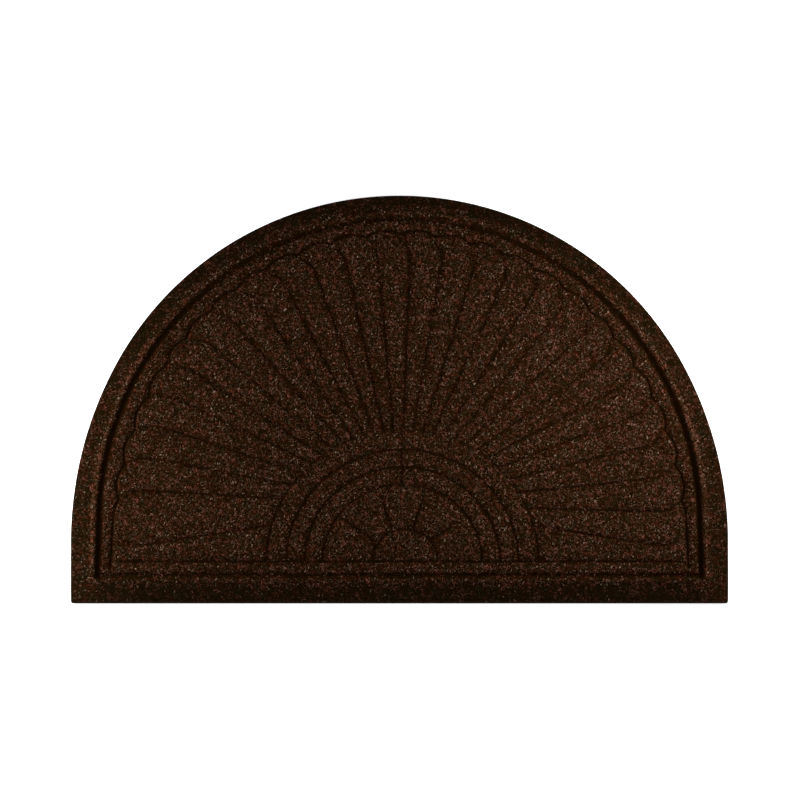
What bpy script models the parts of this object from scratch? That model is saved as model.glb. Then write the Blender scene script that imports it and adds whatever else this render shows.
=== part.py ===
"""Half moon doormat: one flat felted mat with a sunburst pressed into its face.

The mat is a single piece. Its underside is flat on the floor at Z = 0, its straight edge runs along
-Y and its arch rises towards +Y. The face is a height over the plan: a sloping border, an outer
groove, a plain rib, and inside that a fan of 28 petals over a half rosette of rings.
"""

import math

import bmesh
import bpy
import numpy as np
from mathutils import Vector
from mathutils.geometry import delaunay_2d_cdt

# Plan, in metres. Distances "up" are measured from the straight edge towards the crown of the arch.
MAT_WIDTH = 0.990
MAT_DEPTH = 0.614
CORNER_RADIUS = 0.004

# Each arch has a round crown and, below the joining angle, a flatter flank on each side.
# (half width at the foot, crown radius, crown height up, joining angle in degrees)
RIM_ARCH = (MAT_WIDTH / 2, 0.4860, MAT_DEPTH, 27.9)
GROOVE_ARCH = (0.4512, 0.4329, 0.5809, 70.0)
GROOVE_FOOT = 0.0418
# How much wider the outer groove is at its foot than where its arch springs
GROOVE_LEAN = 0.0030
# Steps along the arch, up each side and across the base of every closed line
LOOP_STEPS = (84, 4, 40)
MERGE_MM = 0.2
# The face's points are worked through in this many parts, to spare memory
PARTS_OF_FACE = 12

# Scalloped line inside the rib, and the straight lines that carry it down to the ledge line.
LOBE_RADIUS = 0.4140
LOBE_WIDENING = 0.0579
LOBE_JOIN = 45.0
LOBE_ROUND = 0.052
LOBE_STEPS = 6
FIRST_CUSP = 0.8
PITCH = 7.42
SCALLOP_ENDS = (-2.0, 181.7)
SIDE_LINE_LOW = (0.4345, 0.0550)
SIDE_LINE_HIGH = (0.4308, 0.1285)
LEDGE_UP = 0.0632
LEDGE_ENDS = (-0.4190, 0.4280)

# Fan: centre, first full groove and count, and the two low grooves beside the ledge line.
FAN_CENTRE = (0.0007, 0.1480)
FIRST_GROOVE = -1.4
FULL_GROOVES = 25
LOW_GROOVES = (-8.8, 188.8)
FAN_STEPS = 7
GROOVE_STOP = 0.0150
# The hooked tip of a groove: its length, where its points lie (share back from the tip), its turn
HOOK_LENGTH = 0.026
HOOK_SHARES = (0.62, 0.28, 0.0)
HOOK_TURN = 1.9
LAST_HOOK_TURN = -2.6
FAN_NARROW = 0.68
TIP_STRENGTH = 0.45
# Lines that carry the swell of each petal: (share of the way across it, nearest start, points)
PETAL_LINES = ((0.25, 0.235, 4), (0.50, 0.0, 8), (0.75, 0.235, 4))
PETAL_MARGIN = 0.012

# Rings round the rosette, as half ellipses on the ledge line.
RING_CENTRE = (0.0044, LEDGE_UP)
RING_SQUASH = 0.967
RINGS = {"inner": 0.1200, "second": 0.1470, "third": 0.1745, "outer": 0.2047}
RING_STEPS = 48
# The outer ring breaks into dashes over its shoulders and is faint over its crown, in degrees
DASH_PITCH = 10.6
DASH_START = 4.0
SHOULDER_FROM = 18.0
SHOULDER_FADE = 8.0
CROWN_FROM = 46.0
CROWN_FADE = 16.0
FAINT = 0.30
TICK_X = 0.0032
TICK_STRENGTHS = (1.0, 1.0, 0.9, 0.5)
HUB_CENTRE_X = 0.0080
HUB_RADIUS = 0.0490
HUB_STEPS = 18
RAY_START = 0.0520
RAY_REACH = ((36.0, 0.100), (72.0, 0.103), (108.0, 0.101), (144.0, 0.117))
RAY_STRENGTHS = (1.0, 1.0, 1.0, 0.95, 0.7)

# Heights above the floor, and how far the face swells between two grooves.
FACE_TOP = 0.0095
SWELL = 0.0016
SWELL_REACH = 0.0130
# The border falls away from its lip: (distance out from the outer groove, height)
LIP = ((0.0, 0.0090), (0.0075, 0.0087), (0.0120, 0.0062), (0.0170, 0.0050))
SHELF_TOP = 0.0036
RIM_TOP = 0.0028
RIM_ROUND = 0.0022
FLOORS = {
    "outer groove": 0.0049,
    "scallops": 0.0064,
    "side line": 0.0064,
    "ledge line": 0.0067,
    "fan": 0.0065,
    "rings": 0.0066,
    "hub": 0.0066,
}
HALF_WIDTHS = {
    "outer groove": 0.0072,
    "scallops": 0.0042,
    "side line": 0.0042,
    "ledge line": 0.0038,
    "fan": 0.0044,
    "rings": 0.0042,
    "hub": 0.0040,
}
# Under a groove's half width, the lines that round the bottom of the outer groove
GROOVE_ROUNDING = 0.45

# Felt colour of the whole mat.
FELT_COLOUR = (0.0212, 0.0103, 0.0052, 1.0)
FELT_ROUGHNESS = 0.95


def arch(shape, angles):
    """Points of a three-centred arch where its outward normal has the given angles, in radians."""
    half, crown, top, join_deg = shape
    join = math.radians(join_deg)
    widening = (half - crown) / (1.0 - math.cos(join))
    on_right = angles < join
    on_left = angles > math.pi - join
    radius = crown + widening * (on_right | on_left)
    shift_x = widening * math.cos(join) * (on_left * 1.0 - on_right * 1.0)
    shift_y = -widening * math.sin(join) * (on_right | on_left)
    x = shift_x + radius * np.cos(angles)
    y = (top - crown) + shift_y + radius * np.sin(angles)
    return np.column_stack([x, y])


def closed_arch(shape, foot, corner=0.0, lean=0.0):
    """An arch closed by two straight sides and a base at height foot, anticlockwise from the right.

    A lean makes the foot of each side that much wider than the arch, and a corner cuts it off.
    """
    arch_steps, side_steps, base_steps = LOOP_STEPS
    crown = arch(shape, np.linspace(0.0, math.pi, arch_steps + 1))
    rise = np.linspace(foot + corner, crown[0, 1], side_steps + 1)[:-1]
    half = np.linspace(shape[0] + lean, shape[0], side_steps + 1)[:-1]
    right = np.column_stack([half, rise])
    left = np.column_stack([-half[::-1], rise[::-1]])
    reach = shape[0] + lean - corner
    across = np.linspace(-reach, reach, base_steps + 1)
    base = np.column_stack([across, np.full(base_steps + 1, foot)])
    if corner == 0.0:
        base = base[1:-1]
    return np.vstack([right, crown, left, base])


def beside_groove(out):
    """The closed line that runs this far outside the outer groove."""
    half, crown, top, join_deg = GROOVE_ARCH
    shape = (half + out, crown + out, top + out, join_deg)
    return closed_arch(shape, GROOVE_FOOT - out, lean=GROOVE_LEAN)


def within_rim(depth):
    """The closed line that runs this far inside the mat's rim."""
    half, crown, top, join_deg = RIM_ARCH
    shape = (half - depth, crown - depth, top - depth, join_deg)
    return closed_arch(shape, depth)


def polar(angle_deg, radius, centre=FAN_CENTRE):
    """Points at these angles, in degrees, and distances from the centre."""
    angle = np.radians(angle_deg)
    return np.column_stack([centre[0] + radius * np.cos(angle), centre[1] + radius * np.sin(angle)])


def lobe_top(angle_deg):
    """Distance from the fan's centre to the line that the scallops' tops touch."""
    low = np.minimum(angle_deg, 180.0 - angle_deg)
    bend = np.radians(np.maximum(LOBE_JOIN - np.maximum(low, 0.0), 0.0))
    radius = LOBE_RADIUS + LOBE_WIDENING * (1.0 - np.cos(bend))
    return radius / np.cos(np.radians(np.minimum(low, 0.0)))


def scallop(angle_deg):
    """Distance from the fan's centre to the scalloped line: each lobe is an arc between two cusps."""
    across = ((angle_deg - FIRST_CUSP) / PITCH) % 1.0 - 0.5
    offset = across * math.radians(PITCH) * lobe_top(angle_deg)
    return lobe_top(angle_deg) - (LOBE_ROUND - np.sqrt(LOBE_ROUND**2 - offset**2))


def ring(name, angles):
    """Points of one of the half ellipses at these angles, in radians."""
    half = RINGS[name]
    x = RING_CENTRE[0] + half * np.cos(angles)
    y = RING_CENTRE[1] + half * RING_SQUASH * np.sin(angles)
    return np.column_stack([x, y])


def ring_distance(angle_deg):
    """Distance from the fan's centre out to the outer ring, along a ray at this angle."""
    ray = np.array([math.cos(math.radians(angle_deg)), math.sin(math.radians(angle_deg))])
    half = np.array([RINGS["outer"], RINGS["outer"] * RING_SQUASH])
    start = (np.array(FAN_CENTRE) - np.array(RING_CENTRE)) / half
    step = ray / half
    a, b, c = step @ step, 2.0 * start @ step, start @ start - 1.0
    return (-b + math.sqrt(b * b - 4.0 * a * c)) / (2.0 * a)


def fan_angles():
    """The angles of every groove of the fan, in degrees, from the low right one round to the low left."""
    full = FIRST_GROOVE + PITCH * np.arange(FULL_GROOVES)
    return np.concatenate([[LOW_GROOVES[0]], full, [LOW_GROOVES[1]]])


def fan_groove(angle_deg):
    """One groove of the fan: straight from the outer ring, with its last part hooked towards a cusp."""
    turn = LAST_HOOK_TURN if angle_deg > 180.0 else HOOK_TURN
    start = ring_distance(angle_deg)
    stop = float(lobe_top(np.float64(angle_deg))) - GROOVE_STOP
    straight = np.linspace(start, stop - HOOK_LENGTH, FAN_STEPS + 1)
    hook = stop - HOOK_LENGTH * np.array(HOOK_SHARES)
    radius = np.concatenate([straight, hook])
    bent = np.clip((radius - (stop - HOOK_LENGTH)) / HOOK_LENGTH, 0.0, 1.0)
    return polar(angle_deg + turn * bent**2, radius)


def line(start, end, steps):
    """A straight run of points."""
    share = np.linspace(0.0, 1.0, steps + 1)[:, None]
    return np.array(start) * (1.0 - share) + np.array(end) * share


def groove_path(points, kind, strength=1.0, widths=1.0):
    """A groove as rows of x, y, half width and floor height. A strength under 1 makes it shallower."""
    count = len(points)
    half = HALF_WIDTHS[kind] * np.broadcast_to(widths, count)
    depth = (FACE_TOP - FLOORS[kind]) * np.broadcast_to(strength, count)
    return np.column_stack([points, half, FACE_TOP - depth])


def outer_ring_strength(angles_deg):
    """The outer ring is full by the ledge line, broken on its shoulders and faint over the crown."""
    low = np.minimum(angles_deg, 180.0 - angles_deg)
    dash = 0.5 + 0.5 * np.cos(2.0 * np.pi * (angles_deg - DASH_START) / DASH_PITCH)
    shoulder = np.clip((low - SHOULDER_FROM) / SHOULDER_FADE, 0.0, 1.0)
    crown = np.clip((low - CROWN_FROM) / CROWN_FADE, 0.0, 1.0)
    broken = FAINT + (1.0 - FAINT) * dash
    return (1.0 - shoulder) + shoulder * ((1.0 - crown) * broken + crown * FAINT)


def groove_paths():
    """Every groove pressed into the face, as a dictionary of lists of paths."""
    outer = beside_groove(0.0)
    outer = np.vstack([outer, outer[:1]])

    cusps = FIRST_CUSP + PITCH * np.arange(FULL_GROOVES)
    within = PITCH * np.arange(LOBE_STEPS) / LOBE_STEPS
    lobes = (cusps[:-1, None] + within[None, :]).ravel()
    ends = np.array([SCALLOP_ENDS[0], cusps[-1], SCALLOP_ENDS[1]])
    along = np.unique(np.concatenate([lobes, ends]))

    paths = {
        "outer groove": [groove_path(outer, "outer groove")],
        "scallops": [groove_path(polar(along, scallop(along)), "scallops")],
        "side line": [],
        "ledge line": [],
        "fan": [],
        "rings": [],
        "hub": [],
    }
    for side in ((-1.0, 1.0), (1.0, 1.0)):
        upright = line(np.multiply(SIDE_LINE_LOW, side), np.multiply(SIDE_LINE_HIGH, side), 4)
        paths["side line"].append(groove_path(upright, "side line"))
    ledge = line((LEDGE_ENDS[0], LEDGE_UP), (LEDGE_ENDS[1], LEDGE_UP), 44)
    paths["ledge line"].append(groove_path(ledge, "ledge line"))

    for angle in fan_angles():
        points = fan_groove(angle)
        widths = np.linspace(FAN_NARROW, 1.0, len(points))
        strength = np.ones(len(points))
        strength[-1] = TIP_STRENGTH
        paths["fan"].append(groove_path(points, "fan", strength, widths))

    for name in RINGS:
        steps = RING_STEPS * (2 if name == "outer" else 1)
        angles = np.linspace(0.0, math.pi, steps + 1)
        strength = outer_ring_strength(np.degrees(angles)) if name == "outer" else 1.0
        paths["rings"].append(groove_path(ring(name, angles), "rings", strength))

    crowns = [RING_CENTRE[1] + half * RING_SQUASH for half in RINGS.values()]
    tick = np.column_stack([np.full(len(crowns), TICK_X), crowns])
    paths["hub"].append(groove_path(tick, "hub", TICK_STRENGTHS))
    hub_centre = (HUB_CENTRE_X, LEDGE_UP)
    hub = polar(np.linspace(0.0, 180.0, HUB_STEPS + 1), HUB_RADIUS, hub_centre)
    paths["hub"].append(groove_path(hub, "hub"))
    for angle, reach in RAY_REACH:
        count = len(RAY_STRENGTHS)
        ray = polar(np.full(count, angle), np.linspace(RAY_START, reach, count), RING_CENTRE)
        paths["hub"].append(groove_path(ray, "hub", RAY_STRENGTHS))
    return paths


def segments_of(paths):
    """The start and end rows of every straight piece of these paths, one above the other."""
    starts = np.vstack([path[:-1] for path in paths])
    ends = np.vstack([path[1:] for path in paths])
    return starts, ends


def nearest(points, starts, ends):
    """Distance from each point to each straight piece, and the share along the piece where it is nearest."""
    along = ends[None, :, :2] - starts[None, :, :2]
    offset = points[:, None, :] - starts[None, :, :2]
    length = np.maximum((along**2).sum(2), 1e-18)
    share = np.clip((offset * along).sum(2) / length, 0.0, 1.0)
    gap = offset - share[:, :, None] * along
    return np.sqrt((gap**2).sum(2)), share


def inside(points, loop):
    """True for the points that lie within a closed loop, by counting the sides that a ray crosses."""
    start, end = loop, np.roll(loop, -1, axis=0)
    x, y = points[:, :1], points[:, 1:]
    spans = (start[None, :, 1] > y) != (end[None, :, 1] > y)
    rise = np.where(np.abs(end[:, 1] - start[:, 1]) < 1e-12, 1e-12, end[:, 1] - start[:, 1])
    crossing = start[:, 0] + (y - start[:, 1]) * (end[:, 0] - start[:, 0]) / rise
    return (spans & (x < crossing)).sum(1) % 2 == 1


def relief(points, paths):
    """Height of the face at each point of the plan.

    Inside the outer groove the face swells up from every groove to FACE_TOP. Outside it the border
    falls from a lip beside the groove to a thin shelf that ends in the rounded rim. Each groove then
    pulls the face down to its own floor, by an amount that fades to nothing at its half width.
    """
    outer = paths["outer groove"][0]
    rim = closed_arch(RIM_ARCH, 0.0, corner=CORNER_RADIUS)
    to_rim = nearest(points, rim, np.roll(rim, -1, axis=0))[0].min(1)
    to_groove = nearest(points, outer[:-1], outer[1:])[0].min(1)
    out, height = zip(*LIP)
    lip = np.interp(to_groove, out, height)
    past_lip = np.maximum(to_groove - out[-1], 0.0)
    shelf = SHELF_TOP + (height[-1] - SHELF_TOP) * to_rim / np.maximum(to_rim + past_lip, 1e-9)
    border = np.where(to_groove < out[-1], lip, shelf)
    border -= (SHELF_TOP - RIM_TOP) * np.clip(1.0 - to_rim / RIM_ROUND, 0.0, 1.0) ** 2

    every = [path for group in paths.values() for path in group]
    starts, ends = segments_of(every)
    distance, along = nearest(points, starts, ends)
    rising = 1.0 - np.clip(distance.min(1) / SWELL_REACH, 0.0, 1.0)
    middle = FACE_TOP - SWELL * rising**2
    height = np.where(inside(points, outer[:-1, :2]), middle, border)

    half = starts[None, :, 2] * (1.0 - along) + ends[None, :, 2] * along
    floor = starts[None, :, 3] * (1.0 - along) + ends[None, :, 3] * along
    reach = np.clip(distance / half, 0.0, 1.0)
    pull = (1.0 - reach) ** 2 * (1.0 + 2.0 * reach)
    pressed = height[:, None] + np.minimum(floor - height[:, None], 0.0) * pull
    return pressed.min(1)


def offset_line(path, share):
    """The line beside a groove, at this share of its half width to the left (or, if negative, right)."""
    points = path[:, :2]
    run = np.gradient(points, axis=0)
    run /= np.maximum(np.linalg.norm(run, axis=1, keepdims=True), 1e-12)
    left = np.column_stack([-run[:, 1], run[:, 0]])
    return points + left * path[:, 2:3] * share


def crest_lines():
    """Lines along the petals, between one groove of the fan and the next."""
    grooves = fan_angles()
    lines = []
    for low, high in zip(grooves[:-1], grooves[1:]):
        for share, start, count in PETAL_LINES:
            angle = low + (high - low) * share
            inner = max(ring_distance(angle) + PETAL_MARGIN, start)
            outer = float(scallop(np.float64(angle))) - PETAL_MARGIN
            lines.append(polar(np.full(count, angle), np.linspace(inner, outer, count)))
    return lines


def face_mesh(paths):
    """Points and triangles of the face, with an edge along every groove, shoulder and crest."""
    rim = closed_arch(RIM_ARCH, 0.0, corner=CORNER_RADIUS)
    closed = [rim, within_rim(RIM_ROUND)] + [beside_groove(out) for out, height in LIP[1:]]
    open_lines = crest_lines()
    for kind, group in paths.items():
        for path in group:
            open_lines.append(path[:, :2])
            shares = (GROOVE_ROUNDING, 1.0) if kind == "outer groove" else (1.0,)
            for share in shares:
                open_lines.append(offset_line(path, share))
                open_lines.append(offset_line(path, -share))

    points, edges = [], []
    for loop in closed:
        first = len(points)
        points.extend(loop)
        edges.extend((first + i, first + (i + 1) % len(loop)) for i in range(len(loop)))
    for run in open_lines:
        first = len(points)
        points.extend(run)
        edges.extend((first + i, first + i + 1) for i in range(len(run) - 1))

    # The triangulation works in millimetres, and joins points that lie nearer than MERGE_MM.
    flat = [Vector((float(x) * 1000.0, float(y) * 1000.0)) for x, y in points]
    border = list(range(len(rim)))
    inside_border = 1
    found = delaunay_2d_cdt(flat, edges, [border], inside_border, MERGE_MM)
    plan = np.array([(v.x, v.y) for v in found[0]]) / 1000.0
    return plan, [tuple(face) for face in found[2]]


def build_mat():
    """The mat: its face over a low upright rim, closed by a flat base."""
    paths = groove_paths()
    plan, faces = face_mesh(paths)
    heights = np.concatenate([relief(part, paths) for part in np.array_split(plan, PARTS_OF_FACE)])

    mesh = bmesh.new()
    points = [
        mesh.verts.new((x, y - MAT_DEPTH / 2, z))
        for (x, y), z in zip(plan.tolist(), heights.tolist())
    ]
    for face in faces:
        mesh.faces.new([points[i] for i in face])

    rim_edges = [edge for edge in mesh.edges if len(edge.link_faces) == 1]
    wall = bmesh.ops.extrude_edge_only(mesh, edges=rim_edges)["geom"]
    for item in wall:
        if isinstance(item, bmesh.types.BMVert):
            item.co.z = 0.0
    base_edges = [
        item
        for item in wall
        if isinstance(item, bmesh.types.BMEdge) and all(v.co.z == 0.0 for v in item.verts)
    ]
    bmesh.ops.contextual_create(mesh, geom=base_edges)
    bmesh.ops.recalc_face_normals(mesh, faces=mesh.faces)

    data = bpy.data.meshes.new("mat")
    mesh.to_mesh(data)
    mesh.free()
    data.shade_smooth()
    data.set_sharp_from_angle(angle=math.radians(40.0))
    return bpy.data.objects.new("mat", data)


def felt_material():
    """Dark brown felt, without a shine."""
    material = bpy.data.materials.new("mat_felt")
    material.use_nodes = True
    shader = material.node_tree.nodes["Principled BSDF"]
    shader.inputs["Base Color"].default_value = FELT_COLOUR
    shader.inputs["Roughness"].default_value = FELT_ROUGHNESS
    shader.inputs["Metallic"].default_value = 0.0
    return material


for old in list(bpy.data.objects):
    bpy.data.objects.remove(old)

collection = bpy.data.collections.new("half moon doormat")
bpy.context.scene.collection.children.link(collection)

mat = build_mat()
mat.data.materials.append(felt_material())
collection.objects.link(mat)
print("mat:", len(mat.data.vertices), "points", len(mat.data.polygons), "faces")
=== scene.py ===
# %% [markdown]
# A half moon doormat in pressed felt
#
# The real mat starts as one thick blank of needled felt. A heated plate presses a sunburst of
# grooves into its face, squeezes its border thin and cuts it to a half moon. So the mat is one
# piece, and everything that shows on it is either a height of its face or a fibre of its felt.
#
# The measured model already has that relief in coarse triangles. This file makes the same face
# again on a much finer net, then adds what a coarse solid can't hold: loose fibres, flecks of dyed
# wool and the fuzz of the felt. At the end come a white table, six soft lights and a camera that
# looks straight down.

# %% Load the measured frame
import math

import bpy
import numpy as np
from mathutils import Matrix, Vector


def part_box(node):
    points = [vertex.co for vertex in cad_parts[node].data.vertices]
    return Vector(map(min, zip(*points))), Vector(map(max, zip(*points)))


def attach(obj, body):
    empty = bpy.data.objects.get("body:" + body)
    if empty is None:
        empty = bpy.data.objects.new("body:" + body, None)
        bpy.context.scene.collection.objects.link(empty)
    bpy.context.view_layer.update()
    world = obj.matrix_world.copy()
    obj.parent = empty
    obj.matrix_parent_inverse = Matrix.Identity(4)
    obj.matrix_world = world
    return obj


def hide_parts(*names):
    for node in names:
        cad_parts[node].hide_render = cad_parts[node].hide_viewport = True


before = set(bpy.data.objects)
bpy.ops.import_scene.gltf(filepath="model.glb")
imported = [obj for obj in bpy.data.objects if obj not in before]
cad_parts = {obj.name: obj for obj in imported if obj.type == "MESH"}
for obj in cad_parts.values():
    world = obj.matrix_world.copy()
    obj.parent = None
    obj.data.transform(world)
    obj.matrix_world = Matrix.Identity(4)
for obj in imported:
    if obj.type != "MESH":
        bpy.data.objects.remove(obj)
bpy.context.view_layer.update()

lowest, highest = np.array(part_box("mat"))
WIDTH, DEPTH, FACE_TOP = highest - lowest
print(f"mat: {WIDTH:.3f} m wide, {DEPTH:.3f} m deep, {FACE_TOP * 1000:.1f} mm thick")

# %% [markdown]
# The plan
#
# Lengths "up" are measured from the straight edge towards the crown, so a point of the plan is
# (x, up). A half moon mat isn't a true half circle: its crown is a round arc, and its flanks swell a
# little and then drop straight to the corners. A three-centred arch gives that with four numbers.
# A circle or a spline would be shorter or freer, but the arch is what a pattern cutter draws.

# %% Arches
CORNER_RADIUS = 0.004
# (half width at the foot, crown radius, crown height, joining angle in degrees)
RIM_ARCH = (WIDTH / 2, 0.4860, DEPTH, 27.9)
GROOVE_ARCH = (0.4512, 0.4329, 0.5809, 70.0)
GROOVE_FOOT = 0.0418
GROOVE_LEAN = 0.0030
ARCH_STEPS = 180


def arch(shape):
    """A three-centred arch, from right to left.

    Where the outward normal is steeper than the joining angle a point lies on the crown's circle,
    and elsewhere on a larger circle that touches it there.
    """
    half, crown, top, join_deg = shape
    angles = np.linspace(0.0, math.pi, ARCH_STEPS + 1)
    join = math.radians(join_deg)
    widening = (half - crown) / (1.0 - math.cos(join))
    right, left = angles < join, angles > math.pi - join
    radius = crown + widening * (right | left)
    x = widening * math.cos(join) * (left * 1.0 - right * 1.0) + radius * np.cos(angles)
    up = top - crown - widening * math.sin(join) * (right | left) + radius * np.sin(angles)
    return np.column_stack([x, up])


def closed_arch(shape, foot, lean=0.0):
    """An arch on two straight sides, closed by a straight foot. A lean spreads the sides' feet."""
    crown = arch(shape)
    half = shape[0] + lean
    feet = np.array([[half, foot], [-half, foot]])
    return np.vstack([feet[:1], crown, feet[1:], feet[:1]])


rim_line = closed_arch(RIM_ARCH, 0.0)
outer_groove = closed_arch(GROOVE_ARCH, GROOVE_FOOT, GROOVE_LEAN)
print("rim:", len(rim_line), "points; outer groove:", len(outer_groove), "points")

# %% [markdown]
# The sunburst
#
# Inside a plain rib runs a scalloped line, one lobe to each petal. The petals lie between straight
# grooves that all aim at one centre, and near its tip each groove hooks over to meet a cusp. Under
# them stands a rosette: half rings, a half round hub and four short rays. Every groove is a line
# with a half width and a floor, so that one formula can press them all.

# %% Fan and scallops
LEDGE_UP = 0.0632
LEDGE_ENDS = (-0.4190, 0.4280)
FAN_CENTRE = np.array([0.0007, 0.1480])
PITCH = 7.42
FIRST_GROOVE = -1.4
FULL_GROOVES = 25
LOW_GROOVES = (-8.8, 188.8)
FIRST_CUSP = 0.8
LOBE_RADIUS, LOBE_WIDENING, LOBE_JOIN, LOBE_ROUND = 0.4140, 0.0579, 45.0, 0.052
SCALLOP_ENDS = (-2.0, 181.7)
SIDE_LINE = np.array([[0.4345, 0.0550], [0.4308, 0.1285]])
GROOVE_STOP, HOOK_LENGTH = 0.0150, 0.026
HOOK_TURN, LAST_HOOK_TURN = 1.9, -2.6


def polar(angle_deg, radius, centre=FAN_CENTRE):
    """Points at these angles and distances from a centre."""
    angle = np.radians(angle_deg)
    return np.stack([centre[0] + radius * np.cos(angle), centre[1] + radius * np.sin(angle)], -1)


def around(points, centre=FAN_CENTRE):
    """The angle of each point seen from a centre, from -90 to 270 degrees, and its distance."""
    offset = points - centre
    angle = np.degrees(np.arctan2(offset[..., 1], offset[..., 0]))
    return np.where(angle < -90.0, angle + 360.0, angle), np.hypot(offset[..., 0], offset[..., 1])


def lobe_top(angle_deg):
    """Distance out to the line that the lobes touch: a circle that widens towards both ends."""
    low = np.minimum(angle_deg, 180.0 - angle_deg)
    bend = np.radians(np.maximum(LOBE_JOIN - np.maximum(low, 0.0), 0.0))
    radius = LOBE_RADIUS + LOBE_WIDENING * (1.0 - np.cos(bend))
    return radius / np.cos(np.radians(np.minimum(low, 0.0)))


def scallop(angle_deg):
    """Distance out to the scalloped line: each lobe is an arc of one radius between two cusps."""
    across = ((angle_deg - FIRST_CUSP) / PITCH) % 1.0 - 0.5
    offset = across * math.radians(PITCH) * lobe_top(angle_deg)
    return lobe_top(angle_deg) - (LOBE_ROUND - np.sqrt(LOBE_ROUND**2 - offset**2))


groove_angles = np.concatenate(
    [LOW_GROOVES[:1], FIRST_GROOVE + PITCH * np.arange(FULL_GROOVES), LOW_GROOVES[1:]]
)
hook_turns = np.where(groove_angles > 180.0, LAST_HOOK_TURN, HOOK_TURN)
print("grooves of the fan:", len(groove_angles), "petals:", len(groove_angles) + 1)

# %% Rosette
RING_CENTRE = np.array([0.0044, LEDGE_UP])
RING_SQUASH = 0.967
RINGS = {"inner": 0.1200, "second": 0.1470, "third": 0.1745, "outer": 0.2047}
DASH_PITCH, DASH_START = 10.6, 4.0
SHOULDER_FROM, SHOULDER_FADE, CROWN_FROM, CROWN_FADE, FAINT = 18.0, 8.0, 46.0, 16.0, 0.30
TICK_X, TICK_STRENGTHS = 0.0032, (1.0, 1.0, 0.9, 0.5)
HUB_OFFSET, HUB_RADIUS = 0.0036, 0.0490
RAY_START, RAY_STRENGTHS = 0.0520, (1.0, 1.0, 1.0, 0.95, 0.7)
RAY_REACH = {36.0: 0.100, 72.0: 0.103, 108.0: 0.101, 144.0: 0.117}


def ring_radius(name, angle_deg):
    """Distance from the rings' centre to a half ellipse, in the direction of this angle."""
    angle = np.radians(angle_deg)
    return RINGS[name] * RING_SQUASH / np.hypot(RING_SQUASH * np.cos(angle), np.sin(angle))


def ring(name, angle_deg):
    """Points of a half ellipse in these directions from the rings' centre."""
    return polar(angle_deg, ring_radius(name, angle_deg), RING_CENTRE)


def hub_radius(angle_deg):
    """Distance from the rings' centre to the hub, a circle set a little to the right of it."""
    angle = np.radians(angle_deg)
    across = HUB_OFFSET * np.sin(angle)
    return HUB_OFFSET * np.cos(angle) + np.sqrt(HUB_RADIUS**2 - across**2)


def ring_from_fan(angle_deg):
    """Distance from the fan's centre to the outer ring: the root of the ellipse along a ray."""
    half = np.array([RINGS["outer"], RINGS["outer"] * RING_SQUASH])
    start = (FAN_CENTRE - RING_CENTRE) / half
    angle = np.radians(angle_deg)
    step_x, step_y = np.cos(angle) / half[0], np.sin(angle) / half[1]
    a = step_x**2 + step_y**2
    b = 2.0 * (start[0] * step_x + start[1] * step_y)
    c = start @ start - 1.0
    return (np.sqrt(b * b - 4.0 * a * c) - b) / (2.0 * a)


def outer_ring_strength(angle_deg):
    """Full beside the ledge, broken into dashes over the shoulders, faint over the crown."""
    low = np.minimum(angle_deg, 180.0 - angle_deg)
    dash = 0.5 + 0.5 * np.cos(2.0 * np.pi * (angle_deg - DASH_START) / DASH_PITCH)
    shoulder = np.clip((low - SHOULDER_FROM) / SHOULDER_FADE, 0.0, 1.0)
    crown = np.clip((low - CROWN_FROM) / CROWN_FADE, 0.0, 1.0)
    broken = FAINT + (1.0 - FAINT) * dash
    return (1.0 - shoulder) + shoulder * ((1.0 - crown) * broken + crown * FAINT)


# %% [markdown]
# Every groove as short straight pieces
#
# A row of the table is one straight piece: its two ends, at each end the groove's half width and
# the height of its floor, how much painted shade it lays on the felt in its bottom and beside it, and
# how far each of the two reaches. The table is worked out once and then serves the face, its colours
# and the fibres that lie on it.

# %% Table of pressed lines
HALF_WIDTH = {
    "outer": 0.0072,
    "scallop": 0.0042,
    "ledge": 0.0038,
    "fan": 0.0044,
    "ring": 0.0042,
    "hub": 0.0040,
}
FLOOR = {
    "outer": 0.0049,
    "scallop": 0.0064,
    "ledge": 0.0067,
    "fan": 0.0065,
    "ring": 0.0066,
    "hub": 0.0066,
}
# painted shade: how much a groove darkens its own bottom and the felt beside it, where it runs
# across and where it runs upwards, since the side lamps shade the two kinds differently
BOTTOM_PAINTED_SHADE = {
    "outer": (0.28, 0.82),
    "scallop": (0.50, 0.74),
    "ledge": (0.45, 0.45),
    "fan": (0.42, 0.16),
    "ring": (0.44, 0.50),
    "hub": (0.42, 0.46),
}
BESIDE_PAINTED_SHADE = {
    "outer": (0.05, 0.35),
    "scallop": (0.05, 0.15),
    "ledge": (0.10, 0.10),
    "fan": (0.08, 0.26),
    "ring": (0.04, 0.10),
    "hub": (0.08, 0.12),
}
# how far out these two painted shades reach: a share of the groove's half width, and a length
DARK_CORE = {"outer": 1.0, "scallop": 0.65, "ledge": 0.70, "fan": 0.60, "ring": 0.70, "hub": 0.70}
BESIDE_REACH = {
    "outer": 0.009,
    "scallop": 0.009,
    "ledge": 0.009,
    "fan": 0.009,
    "ring": 0.010,
    "hub": 0.009,
}
FAN_NARROW = 0.68
SLANT_FADE = 0.20
TIP_STRENGTH = 0.45


def steepness(run):
    """0 for a piece that runs across the mat, 1 for one that runs up it."""
    return run[:, 1] ** 2 / (run**2).sum(1)


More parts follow.
